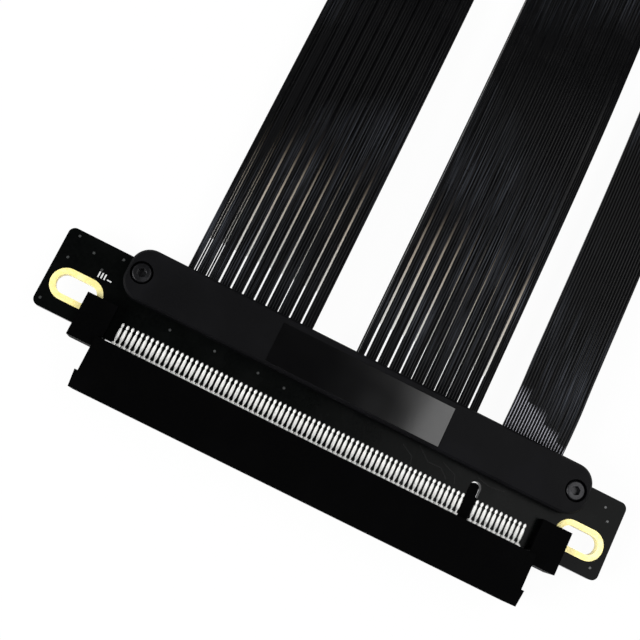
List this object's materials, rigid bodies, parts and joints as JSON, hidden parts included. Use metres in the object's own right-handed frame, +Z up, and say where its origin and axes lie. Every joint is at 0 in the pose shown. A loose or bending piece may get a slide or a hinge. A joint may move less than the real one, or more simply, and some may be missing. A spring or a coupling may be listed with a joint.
{
  "type": "graphics card riser cable",
  "caption": "Flat riser cable: a card socket on a slotted board, black ribbons clamped under screwed covers, and a card-edge plug.",
  "frame": {"origin": "middle of the socket end's footprint, on the surface it lies on", "axes": "+X along the boards towards the key of the card slot, +Y from the socket to the plug, +Z up"},
  "size_m": [0.1162, 0.2523, 0.0089],
  "materials": {
    "housing": "black moulded plastic",
    "board": "black solder mask over fibreglass",
    "cover": "fine matt black",
    "label": "plain glossy black",
    "contact_tin": "bright tinned",
    "gold_plating": "pale gold plating",
    "black_screw": "black oxide",
    "nut_steel": "zinc plated",
    "ribbon_jacket": "satin black film over flat wires"
  },
  "bodies": {
    "root": {"socket_housing": "housing", "upper_contacts_long": "contact_tin", "upper_contacts_short": "contact_tin", "lower_contacts_long": "contact_tin", "lower_contacts_short": "contact_tin", "socket_board": "board", "left_slot_plating": "gold_plating", "right_slot_plating": "gold_plating", "label_plate": "label", "plug_board": "board", "upper_cover": "cover", "lower_cover": "cover", "left_screw": "black_screw", "left_nut": "nut_steel", "right_screw": "black_screw", "right_nut": "nut_steel", "left_upper_joint_row": "contact_tin", "left_lower_joint_row": "contact_tin", "middle_upper_joint_row": "contact_tin", "middle_lower_joint_row": "contact_tin", "narrow_upper_joint_row": "contact_tin", "plug_upper_cover": "cover", "plug_lower_cover": "cover", "plug_left_screw": "black_screw", "plug_left_nut": "nut_steel", "plug_right_screw": "black_screw", "plug_right_nut": "nut_steel", "plug_left_upper_joint_row": "contact_tin", "plug_left_lower_joint_row": "contact_tin", "plug_middle_upper_joint_row": "contact_tin", "plug_middle_lower_joint_row": "contact_tin", "plug_narrow_upper_joint_row": "contact_tin", "left_upper_ribbon": "ribbon_jacket", "left_lower_ribbon": "ribbon_jacket", "middle_upper_ribbon": "ribbon_jacket", "middle_lower_ribbon": "ribbon_jacket", "narrow_upper_ribbon": "ribbon_jacket"}
  },
  "joints": []
}
